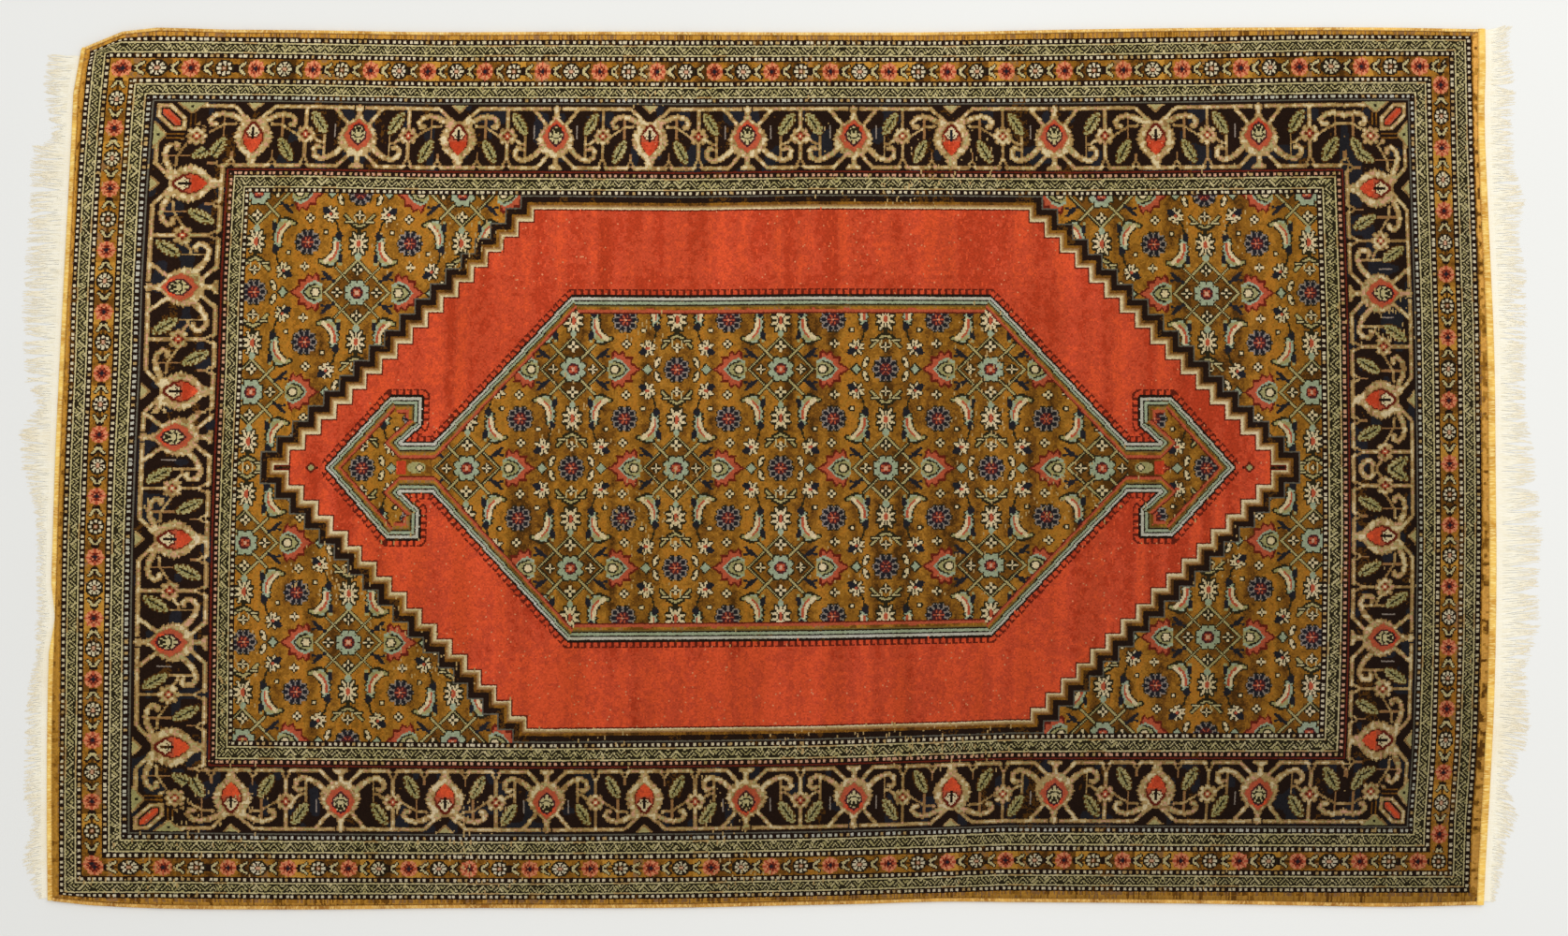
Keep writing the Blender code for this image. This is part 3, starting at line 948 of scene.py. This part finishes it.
def add_node(tree, kind, **settings):
    """A new node. A setting is a property of the node, or the source or value of an input."""
    made = tree.nodes.new(kind)
    for name, term in settings.items():
        if hasattr(made, name):
            setattr(made, name, term)
        else:
            feed(made.inputs[name.replace("_", " ")], term)
    return made


def answer(tree, kind, terms, **settings):
    """The first output of a new node whose first inputs take these terms, sockets or values."""
    made = add_node(tree, kind, **settings)
    for socket, term in zip(made.inputs, terms):
        feed(socket, term)
    return made.outputs[0]


def calculate(tree, operation, *terms):
    return answer(tree, "ShaderNodeMath", terms, operation=operation)


def calculate_vector(tree, operation, *terms):
    return answer(tree, "ShaderNodeVectorMath", terms, operation=operation)


def spread(tree, *terms):
    """Maps a value from one range to another, held inside it. The other is 0 to 1 if not given."""
    return answer(tree, "ShaderNodeMapRange", terms)


def split(tree, vector):
    return add_node(tree, "ShaderNodeSeparateXYZ", Vector=vector).outputs


def blend(tree, share, first, second, mode="MIX"):
    """A mix of two colours. Each term is a socket, or a value."""
    terms = (share, *[None] * 5, first, second)
    return answer(tree, "ShaderNodeMix", terms, data_type="RGBA", blend_type=mode).node.outputs[2]


def noise(tree, place, scale, detail=2.0, roughness=0.5):
    settings = {"Vector": place, "Scale": scale, "Detail": detail, "Roughness": roughness}
    return add_node(tree, "ShaderNodeTexNoise", **settings).outputs["Fac"]


def object_place(tree):
    return add_node(tree, "ShaderNodeTexCoord").outputs["Object"]


def map_place(tree, name):
    return add_node(tree, "ShaderNodeUVMap", uv_map=name).outputs[0]


def linear(*colour):
    """An sRGB colour of 0 to 255 as the scene-linear one that sockets take."""
    share = np.array(colour) / 255
    found = np.where(share <= 0.04045, share / 12.92, ((share + 0.055) / 1.055) ** 2.4)
    return (*found.tolist(), 1.0)


def new_group(name):
    """A node group that puts out one colour, and the socket that takes that colour."""
    group = bpy.data.node_groups.new(name, "ShaderNodeTree")
    group.interface.new_socket("Color", in_out="OUTPUT", socket_type="NodeSocketColor")
    return group, group.nodes.new("NodeGroupOutput").inputs["Color"]


def new_material(name):
    material = bpy.data.materials.new(name)
    material.use_nodes = True
    return material, material.node_tree


def set_surface(tree, colour, roughness, specular, height, strength, distance):
    """Gives the tree's surface its colour, its shine, and a bump of this height."""
    bump = add_node(tree, "ShaderNodeBump", Strength=strength, Distance=distance, Height=height)
    inputs = tree.nodes["Principled BSDF"].inputs
    feed(inputs["Base Color"], colour)
    feed(inputs["Roughness"], roughness)
    feed(inputs["Specular IOR Level"], specular)
    feed(inputs["Normal"], bump.outputs[0])


# Each knot's colour is read back from the face's four numbers. No two knots are quite the same shade.

knot_reader, knot_colour = new_group("Knot colour")
tree = knot_reader
knots = map_place(tree, "knots")
stray = noise(tree, knots, 0.8, detail=1.0).node.outputs["Color"]
stray = calculate_vector(tree, "SUBTRACT", stray, (0.5, 0.5, 0.5))
stray = calculate_vector(tree, "MULTIPLY", stray, (1.3, 1.3, 0.0))
inside = calculate_vector(tree, "MODULO", knots, (BLOCK, BLOCK, BLOCK))
block_corner = calculate_vector(tree, "SUBTRACT", knots, inside)
inside = calculate_vector(tree, "ADD", inside, stray)
inside = calculate_vector(tree, "MAXIMUM", inside, (0.01, 0.01, 0.0))
inside = calculate_vector(tree, "MINIMUM", inside, (BLOCK - 0.01, BLOCK - 0.01, 0.0))
inside = calculate_vector(tree, "FLOOR", inside)
column, row, _ = split(tree, inside)
yarn_rows = add_node(tree, "ShaderNodeAttribute", attribute_name="yarns", attribute_type="GEOMETRY").outputs
rows = add_node(tree, "ShaderNodeSeparateColor", Color=yarn_rows["Color"]).outputs
numbers = rows[0]
for place, source in enumerate((rows[1], rows[2], yarn_rows["Alpha"])):
    reached = calculate(tree, "GREATER_THAN", row, place + 0.5)
    numbers = answer(tree, "ShaderNodeMix", (reached, None, numbers, source))
power = calculate(tree, "POWER", float(YARN_BASE), column)
yarn_number = calculate(tree, "DIVIDE", calculate(tree, "ADD", numbers, 0.5), power)
yarn_number = calculate(tree, "FLOOR", yarn_number)
yarn_number = calculate(tree, "MODULO", yarn_number, float(YARN_BASE))
yarn_place = calculate(tree, "DIVIDE", calculate(tree, "ADD", yarn_number, 0.5), float(YARN_BASE))
yarn_rack = add_node(tree, "ShaderNodeValToRGB", Fac=yarn_place)
yarn_rack.color_ramp.interpolation = "CONSTANT"
stops = yarn_rack.color_ramp.elements
for name, number in YARN.items():
    stop = stops[number] if number < 1 else stops.new(number / YARN_BASE)
    stop.position = number / YARN_BASE
    stop.color = linear(*YARN_COLOURS[name])
stops.remove(stops[-1])
each = add_node(tree, "ShaderNodeTexWhiteNoise", Vector=calculate_vector(tree, "ADD", block_corner, inside))
tint = spread(tree, each.outputs["Value"], 0.0, 1.0, 0.80, 1.16)
feed(knot_colour, calculate_vector(tree, "SCALE", yarn_rack.outputs["Color"], None, None, tint))

# The wool is paler towards the top left and darker towards the bottom right: partly fading of the wool,
# partly painted sheen of the leaning pile.

fade_and_sheen, fade_and_sheen_colour = new_group("Fading and painted sheen")
place = object_place(fade_and_sheen)
east, north, _ = split(fade_and_sheen, place)
# Painted sheen, with some fading: lighter towards the top left, darker towards the bottom right.
fade_and_sheen_level = calculate(fade_and_sheen, "MULTIPLY_ADD", east, -0.13, 0.765)
fade_and_sheen_level = calculate(fade_and_sheen, "MULTIPLY_ADD", north, 0.25, fade_and_sheen_level)
cloudy = noise(fade_and_sheen, place, 5.0, detail=4.0, roughness=0.6)
across_bands = noise(fade_and_sheen, calculate_vector(fade_and_sheen, "MULTIPLY", place, (26.0, 1.2, 0.0)), 1.0)
cloudy = calculate(fade_and_sheen, "ADD", calculate(fade_and_sheen, "MULTIPLY", cloudy, 0.6), across_bands)
fade_and_sheen_level = calculate(fade_and_sheen, "MULTIPLY", fade_and_sheen_level, spread(fade_and_sheen, cloudy, 0.6, 1.0, 0.9, 1.1))
green = calculate(fade_and_sheen, "MULTIPLY", fade_and_sheen_level, 0.97)
blue = calculate(fade_and_sheen, "MULTIPLY", fade_and_sheen_level, spread(fade_and_sheen, cloudy, 0.6, 1.0, 0.80, 0.95))
feed(fade_and_sheen_colour, answer(fade_and_sheen, "ShaderNodeCombineColor", (fade_and_sheen_level, green, blue)))


def knotted_material(name):
    """A material that shows the chart: its tree, and the knots' colour with its fading and painted sheen."""
    material, tree = new_material(name)
    groups = (add_node(tree, "ShaderNodeGroup", node_tree=group) for group in (knot_reader, fade_and_sheen))
    # The second group paints sheen and fading over the knots' colour.
    knot, worn = (group.outputs[0] for group in groups)
    return material, tree, blend(tree, 1.0, knot, worn, "MULTIPLY")


# The top: cut pile, soft and grainy. The back: the same knots as hard little beads, with the cotton
# weft showing between their rows.

WEFT_COLOUR = (186, 172, 138)
wool, tree, shade = knotted_material("Knotted wool pile")
pile_grain = noise(tree, object_place(tree), 900.0, detail=3.0)
set_surface(tree, shade, 1.0, 0.08, pile_grain, 0.5, 0.001)

back, tree, shade = knotted_material("Knotted back with cotton weft")
east, north, _ = split(tree, map_place(tree, "knots"))
along_row = calculate(tree, "PINGPONG", north, 0.25)
across_rows = calculate(tree, "PINGPONG", east, 0.5)
shade = blend(tree, spread(tree, across_rows, 0.05, 0.2, 0.65, 0.0), shade, linear(*WEFT_COLOUR))
bead = spread(tree, along_row, 0.0, 0.2, 0.0, 0.5)
bead = calculate(tree, "ADD", spread(tree, across_rows, 0.0, 0.35), bead)
set_surface(tree, shade, 1.0, 0.08, bead, 0.8, 0.0006)

pile_mesh.materials.append(wool)
pile_mesh.materials.append(back)
for face in pile_mesh.polygons:
    face.material_index = int(face.normal.z < -0.5)

# ---- Overcast long edges --------------------------------------------------------------------
# The two long edges: a few cotton warps wrapped round and round with pale gold wool, so that the
# knots can't work loose. The turns lie close together and lean a little along the edge.

SELVEDGE_TURN = 3.2  # mm along the edge for a turn of the yarn
TURN_SIDES = 10
CORD_HEIGHT = 6.5


def cord_rails(node, way):
    """A CAD cord's widest level: places along it, and its low and high side there, in mm."""
    found = {}
    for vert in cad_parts[node].data.vertices:
        if 0.4 < vert.co.z / (CORD_HEIGHT * MM) < 0.5:
            found.setdefault(round(vert.co[way] / MM, 2), []).append(vert.co[1 - way] / MM)
    return np.array([(at, min(sides), max(sides)) for at, sides in sorted(found.items())])


def wrapped_cord(name, node, way, turn, groove, steps=3):
    """A cord along one edge, ridged by the turns of its yarn. Its map is (mm along, share round)."""
    rails = cord_rails(node, way)
    first, last = rails[0, 0], rails[-1, 0]
    shape = bmesh.new()
    rings = int((last - first) / turn * steps)
    bmesh.ops.create_grid(shape, x_segments=rings, y_segments=TURN_SIDES, size=1.0)
    shape.verts.ensure_lookup_table()
    at = (np.array([vert.co.xy for vert in shape.verts]) + 1) / 2
    along = first + (last - first) * at[:, 0]
    wrap = shape.loops.layers.uv.new("wrap")
    for face in shape.faces:
        for loop in face.loops:
            loop[wrap].uv = (along[loop.vert.index], at[loop.vert.index, 1])
    angle = 2 * np.pi * at[:, 1] - np.pi / 2
    across, up = (np.sign(part) * np.abs(part) ** 0.75 for part in (np.cos(angle), np.sin(angle)))
    phase = (0.5 - 0.5 * up * np.where(across > 0, 1, -1)) * 0.6 + (along - first) / turn
    swell = 1 - groove * (0.5 + 0.5 * np.cos(2 * np.pi * phase))
    low, high = (np.interp(along, rails[:, 0], rails[:, column]) for column in (1, 2))
    side = (low + high) / 2 + (high - low) / 2 * across * swell
    lift = CORD_HEIGHT / 2 * (1 + up * np.where(up > 0, swell, 1.0))
    ends = np.stack([along, side] if way == 0 else [side, along], axis=1)
    for vert, (x, y), z in zip(shape.verts, ends * MM, lift * MM):
        vert.co = (x, y, z)
    bmesh.ops.remove_doubles(shape, verts=shape.verts, dist=0.00001)
    bmesh.ops.holes_fill(shape, edges=[edge for edge in shape.edges if edge.is_boundary], sides=0)
    return new_piece(name, shape, node)


def yarn_look(name, dark, middle, bright, turn, depth):
    """Wrapped wool: painted shade in the groove between the turns, and tones that drift along the edge."""
    material, tree = new_material(name)
    wrap = map_place(tree, "wrap")
    place = object_place(tree)
    length, round_it, _ = split(tree, wrap)
    groove = calculate(tree, "PINGPONG", calculate(tree, "MULTIPLY_ADD", length, 1 / turn, round_it), 0.5)
    strand = noise(tree, calculate_vector(tree, "MULTIPLY", wrap, (1 / turn, 3.0, 0.0)), 1.0)
    drift = noise(tree, place, 28.0, detail=3.0)
    tone = blend(tree, spread(tree, drift, 0.35, 0.65), linear(*dark), linear(*middle))
    tone = blend(tree, spread(tree, strand, 0.45, 0.75), tone, linear(*bright))
    # Painted shade: the groove between the turns takes the dark tone.
    tone = blend(tree, spread(tree, groove, 0.0, 0.14, depth, 0.0), tone, linear(*dark))
    set_surface(tree, tone, 0.85, 0.2, noise(tree, place, 1400.0), 0.5, 0.0006)
    return material


PALE_GOLD = {  # dark, middle and bright, as sRGB; the dark tone is also the painted shade in the grooves; the edge at the top is paler
    "top": ((188, 134, 54), (234, 188, 98), (250, 224, 150)),
    "bottom": ((150, 98, 34), (208, 156, 72), (232, 194, 116)),
}
for side, tones in PALE_GOLD.items():
    edge = wrapped_cord("overcast_" + side, "selvedge_" + side, 0, SELVEDGE_TURN, 0.10)
    edge.data.materials.append(yarn_look("Pale gold wool " + side, *tones, SELVEDGE_TURN, 0.4))

# ---- Gold end bands -------------------------------------------------------------------------
# At both ends the last rows are covered with bright gold wool, stitched over and over the edge in
# fine close turns that show as one smooth rounded band.

BAND_TURN = 2.2
# Its dark tone is also painted into the grooves between the turns as shade.
gold = yarn_look("Gold wool end band", (198, 142, 52), (240, 198, 100), (250, 226, 146), BAND_TURN, 0.3)
for side in ("left", "right"):
    band = wrapped_cord("band_" + side, "end_band_" + side, 1, BAND_TURN, 0.05)
    band.data.materials.append(gold)

# ---- Cotton fringe --------------------------------------------------------------------------
# The cream cotton warps that run through the whole rug. Past the gold band a few rows of weft hold
# them as a flat web, and beyond it they lie loose on the floor, bunched and a little wavy.

WEB_WIDTH = 9.0
WEB_THICKNESS = 1.8
STRANDS = 1300
STRAND_STEPS = 7
STRAND_SIDES = 3
STRAND_RADIUS = 0.95
FRINGE_ENDS = {"left": (-650, 612), "right": (-655, 655)}  # across the rug, in mm
FRINGE_TIPS = {  # across the rug, the tips' place along it, and how far they lean, in mm
    "left": (
        (-650, -1112, -0.30), (-587, -1137, -0.25), (-531, -1120, -0.25), (-496, -1134, -0.25),
        (-356, -1131, -0.18), (-286, -1117, -0.05), (-146, -1114, 0.0), (-62, -1119, 0.0),
        (-6, -1137, 0.0), (50, -1141, 0.02), (85, -1113, 0.0), (134, -1133, -0.05), (218, -1137, 0.0),
        (316, -1131, 0.0), (393, -1126, 0.02), (470, -1123, 0.05), (487, -1092, 0.0),
        (526, -1098, -0.10), (568, -1105, 0.05), (615, -1098, 0.05),
    ),
    "right": (
        (-655, 1071, -0.15), (-608, 1081, -0.20), (-559, 1091, -0.25), (-510, 1105, -0.35),
        (-475, 1089, -0.25), (-426, 1113, -0.20), (-377, 1124, -0.10), (-307, 1116, 0.05),
        (-237, 1140, 0.05), (-202, 1133, 0.10), (-118, 1142, 0.05), (-62, 1137, 0.0), (22, 1130, 0.0),
        (78, 1116, -0.05), (288, 1117, -0.05), (344, 1106, 0.0), (393, 1117, 0.05), (442, 1100, 0.0),
        (512, 1095, 0.0), (561, 1102, 0.05), (610, 1091, 0.15), (650, 1095, 0.35),
    ),
}


def make_fringe(side, outward):
    """A web and its loose strands in one mesh. Its map is (share of the length, number of the strand)."""
    chance = np.random.default_rng(31 + outward)
    rails = cord_rails("end_band_" + side, 1)
    first = max(rails[0, 0] + 1, FRINGE_ENDS[side][0] + TABLE_MIDDLE[1])
    last = min(rails[-1, 0] - 1, FRINGE_ENDS[side][1] + TABLE_MIDDLE[1])

    def band_edge(y):
        return np.interp(y, rails[:, 0], rails[:, 2 if outward > 0 else 1]) + outward * 0.4

    def draw(low, high):
        return chance.uniform(low, high, STRANDS)

    web = bmesh.new()
    bmesh.ops.create_grid(web, x_segments=6, y_segments=220, size=1.0)
    run = web.loops.layers.uv.new("run")
    for face in web.faces:
        for loop in face.loops:
            loop[run].uv = ((loop.vert.co.x + 1) / 2 * 0.1, (loop.vert.co.y + 1) * STRANDS / 2)
    sheet = bmesh.ops.extrude_face_region(web, geom=web.faces[:])["geom"]
    top = {part for part in sheet if isinstance(part, bmesh.types.BMVert)}
    at = np.array([vert.co.xy for vert in web.verts])
    y = first + (last - first) * (at[:, 1] + 1) / 2
    x = band_edge(y) + outward * WEB_WIDTH * (at[:, 0] + 1) / 2
    crown = WEB_THICKNESS * (0.85 + 0.15 * np.sin(y * 0.21) * np.sin(y * 0.047 + 1))
    for vert, x_mm, y_mm, z_mm in zip(web.verts, x, y, crown):
        vert.co = (x_mm * MM, y_mm * MM, z_mm * MM if vert in top else 0.0)

    rows = STRANDS * (STRAND_STEPS + 1) - 1
    bmesh.ops.create_grid(web, x_segments=STRAND_SIDES, y_segments=rows, size=1.0)
    web.verts.index_update()
    loose = [vert for vert in web.verts if vert.index >= len(at)]
    place = (np.array([vert.co.xy for vert in loose]) + 1) / 2
    turn = np.round(place[:, 0] * STRAND_SIDES)
    s, step = np.divmod(np.round(place[:, 1] * rows).astype(int), STRAND_STEPS + 1)
    bridges = [
        face
        for face in web.faces
        if min(vert.index for vert in face.verts) >= len(at)
        and len({s[vert.index - len(at)] for vert in face.verts}) > 1
    ]
    share = step / STRAND_STEPS
    root = first + (last - first) * (np.arange(STRANDS) + 0.5 + draw(-0.5, 0.5)) / STRANDS
    tips = np.array(FRINGE_TIPS[side]) + (TABLE_MIDDLE[1], TABLE_MIDDLE[0], 0)
    start = band_edge(root) + outward * (WEB_WIDTH - 4)
    length = np.abs(column_at(tips, root, 1) - start) * (1 - 0.4 * draw(0, 1) ** 2.5)
    length += draw(-3, 3)
    bunch = np.cumsum(draw(0, 1) > 0.8)
    bunches = bunch.max() + 1
    bunch_middle = np.array([root[bunch == number].mean() for number in range(bunches)])[bunch]
    gather = chance.uniform(0.0, 0.8, bunches)[bunch]
    bunch_lean = chance.uniform(-0.12, 0.12, bunches)[bunch]
    lean = column_at(tips, root, 2) + bunch_lean + draw(-0.08, 0.08)
    wave = draw(0.3, 1.6)
    waves = draw(0.6, 2.2)
    shift = draw(0, 2 * np.pi)
    lift = draw(0, 0.7)
    y = root[s] + (bunch_middle[s] - root[s]) * gather[s] * share**2
    y = y + lean[s] * length[s] * share * (0.5 + 0.5 * share)
    y = y + wave[s] * share * np.sin(2 * np.pi * waves[s] * share + shift[s])
    x = start[s] + outward * length[s] * share
    radius = STRAND_RADIUS * (1 - 0.7 * share**1.5)
    angle = 2 * np.pi * turn / STRAND_SIDES - np.pi / 2
    y = y + radius * np.cos(angle)
    z = radius * (0.55 + np.sin(angle)) + lift[s] * (1 - 0.8 * share) + 0.02
    for face in web.faces:
        for loop in face.loops:
            k = loop.vert.index - len(at)
            if k >= 0:
                loop[run].uv = (share[k], s[k])
    for vert, x_mm, y_mm, z_mm in zip(loose, x, y, z):
        vert.co = (x_mm * MM, y_mm * MM, max(z_mm, 0.02) * MM)
    bmesh.ops.delete(web, geom=bridges, context="FACES")
    bmesh.ops.remove_doubles(web, verts=web.verts, dist=0.0000001)
    bmesh.ops.holes_fill(web, edges=[edge for edge in web.edges if edge.is_boundary], sides=STRAND_SIDES)
    return new_piece("warp_fringe_" + side, web, "fringe_" + side)


COTTON_TONES = ((240, 235, 218), (233, 224, 198))
COTTON_STAIN = (226, 208, 170)
cotton, tree = new_material("Cream cotton warps")
run = map_place(tree, "run")
place = object_place(tree)
each = noise(tree, calculate_vector(tree, "MULTIPLY", run, (2.0, 0.83, 0.0)), 1.0)
tone = blend(tree, spread(tree, each, 0.4, 0.7), *(linear(*colour) for colour in COTTON_TONES))
stained = spread(tree, noise(tree, place, 7.0, detail=3.0), 0.5, 0.75, 0.0, 0.5)
tipped = spread(tree, split(tree, run)[0], 0.4, 1.0, 0.0, 0.6)
for amount in (stained, tipped):
    tone = blend(tree, amount, tone, linear(*COTTON_STAIN))
fibre = noise(tree, calculate_vector(tree, "MULTIPLY", place, (0.3, 1.6, 1.0)), 900.0)
set_surface(tree, tone, 0.9, 0.2, fibre, 0.5, 0.0005)
for side, outward in (("left", -1), ("right", 1)):
    fringe = make_fringe(side, outward)
    fringe.data.materials.append(cotton)

# ---- Floor, light and camera ----------------------------------------------------------------
# A pale floor, lit evenly from all round, and a camera straight above the middle of the photograph.

FLOOR_HALF = 40.0
FLOOR_TONES = ((221, 221, 217), (230, 230, 227))
floor_shape = bmesh.new()
bmesh.ops.create_grid(floor_shape, x_segments=1, y_segments=1, size=FLOOR_HALF)
floor_mesh = bpy.data.meshes.new("floor")
floor_shape.to_mesh(floor_mesh)
floor_shape.free()
floor = bpy.data.objects.new("floor", floor_mesh)
bpy.context.scene.collection.objects.link(floor)
plaster, tree = new_material("Pale studio floor")
cloud = noise(tree, object_place(tree), 0.8)
inputs = tree.nodes["Principled BSDF"].inputs
feed(inputs["Base Color"], blend(tree, cloud, *(linear(*colour) for colour in FLOOR_TONES)))
feed(inputs["Roughness"], 0.9)
floor_mesh.materials.append(plaster)

bpy.context.scene.view_settings.view_transform = "Standard"
world = bpy.data.worlds.new("Studio")
world.use_nodes = True
bpy.context.scene.world = world
world.node_tree.nodes["Background"].inputs["Color"].default_value = (1.0, 1.0, 1.0, 1.0)
world.node_tree.nodes["Background"].inputs["Strength"].default_value = 0.79

lamp = bpy.data.lights.new("overhead", "AREA")
lamp.shape = "RECTANGLE"
lamp.size = 4.0
lamp.size_y = 3.0
lamp.energy = 70.0
lamp_object = bpy.data.objects.new("overhead", lamp)
lamp_object.location = (1.1, 1.25, 3.5)
lamp_object.rotation_euler = (-0.25, 0.24, 0.0)
bpy.context.scene.collection.objects.link(lamp_object)

PHOTO_WIDTH = 2.345  # that the photograph takes in at the height of the pile, in metres
CAMERA_HEIGHT = 3.2
SENSOR = 36.0
camera_data = bpy.data.cameras.new("camera")
camera_data.sensor_width = SENSOR
camera_data.lens = SENSOR * (CAMERA_HEIGHT - PILE_HEIGHT * MM) / PHOTO_WIDTH
camera = bpy.data.objects.new("camera", camera_data)
camera.location = (0.00604, 0.00055, CAMERA_HEIGHT)
bpy.context.scene.collection.objects.link(camera)
bpy.context.scene.camera = camera
